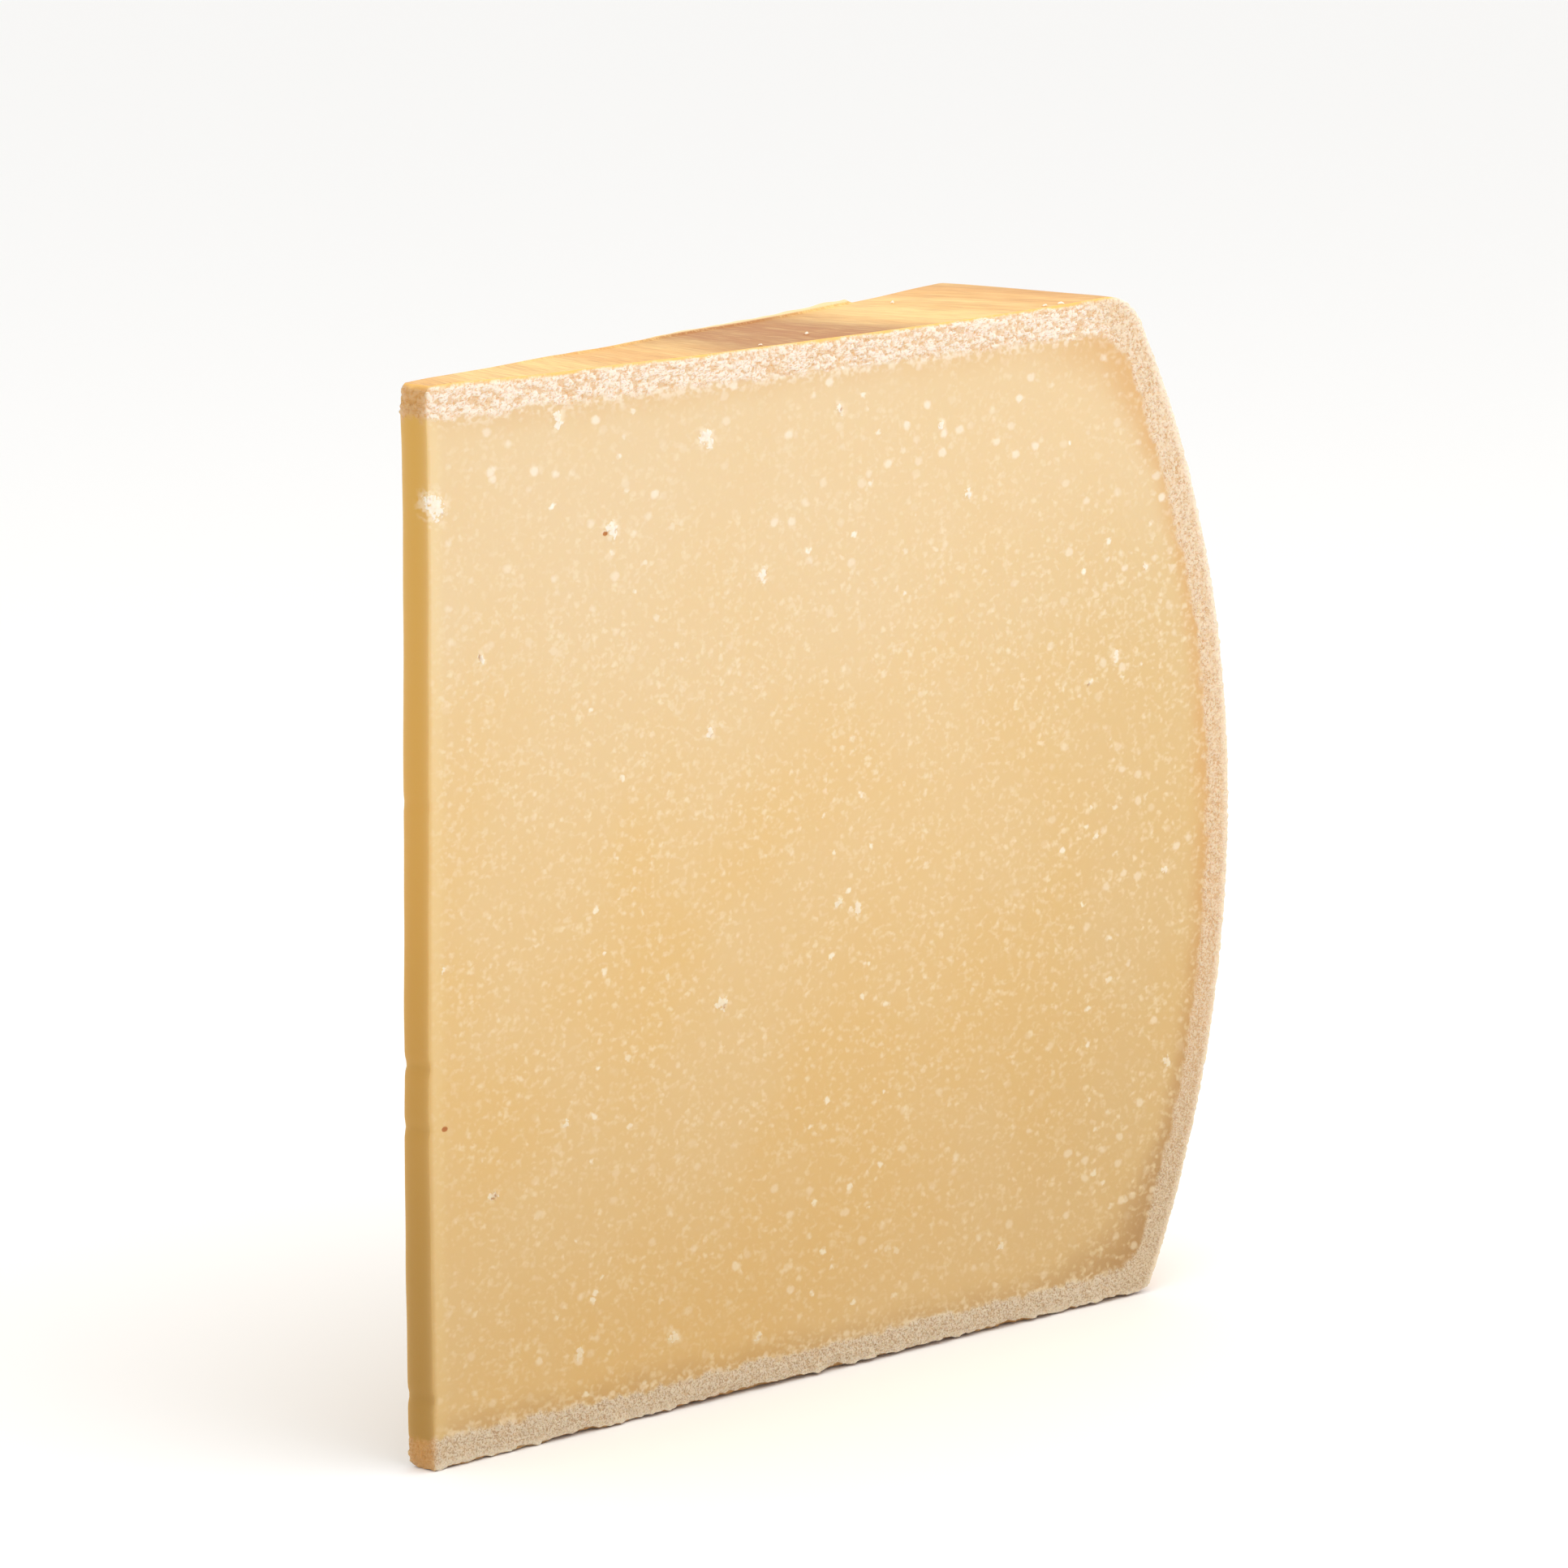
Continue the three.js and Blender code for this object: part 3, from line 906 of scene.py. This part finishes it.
ROOM_BRIGHTNESS = 0.97
world = bpy.data.worlds.new("white_room")
bpy.context.scene.world = world
world.use_nodes = True
world.node_tree.nodes["Background"].inputs[0].default_value = (1, 1, 1, 1)
world.node_tree.nodes["Background"].inputs[1].default_value = ROOM_BRIGHTNESS


def aim(thing, target, azimuth, elevation, distance):
    """Stands a thing off from its target and turns it to face that. Azimuth 0 is at -Y."""
    a, e = math.radians(azimuth), math.radians(elevation)
    away = Vector((math.sin(a) * math.cos(e), -math.cos(a) * math.cos(e), math.sin(e)))
    thing.location = target + away * distance
    thing.rotation_mode = "QUATERNION"
    thing.rotation_quaternion = (-away).to_track_quat("-Z", "Y")


SOFTBOX_SIDE = 0.9
SOFTBOX_POWER = 4
SOFTBOX_AZIMUTH = 20
SOFTBOX_ELEVATION = 62
SOFTBOX_DISTANCE = 0.9
lamp = bpy.data.lights.new("overhead_softbox", "AREA")
lamp.shape = "RECTANGLE"
lamp.size = SOFTBOX_SIDE
lamp.size_y = SOFTBOX_SIDE
lamp.energy = SOFTBOX_POWER
softbox = bpy.data.objects.new("overhead_softbox", lamp)
bpy.context.scene.collection.objects.link(softbox)
middle_of_wedge = Vector((0, 0, height * MM / 2))
aim(softbox, middle_of_wedge, SOFTBOX_AZIMUTH, SOFTBOX_ELEVATION, SOFTBOX_DISTANCE)


# ---------------------------------------------------------------------------------------------
# The camera: a long lens a little above the wedge, turned from its front towards its tip, so
# that the front cut, the narrow tip and the top rind all show.
# ---------------------------------------------------------------------------------------------

CAMERA_AZIMUTH = -50
CAMERA_ELEVATION = 10.86
CAMERA_DISTANCE = 1.4995
CAMERA_LENS = 190.6
CAMERA_AIM = Vector((-0.0024, 0.0005, 0.107))
camera_data = bpy.data.cameras.new("camera")
camera_data.sensor_width = 36
camera_data.lens = CAMERA_LENS
camera_data.clip_start = 0.05
camera_data.clip_end = 50
camera = bpy.data.objects.new("camera", camera_data)
bpy.context.scene.collection.objects.link(camera)
aim(camera, CAMERA_AIM, CAMERA_AZIMUTH, CAMERA_ELEVATION, CAMERA_DISTANCE)
bpy.context.scene.camera = camera
bpy.context.scene.view_settings.view_transform = "Standard"
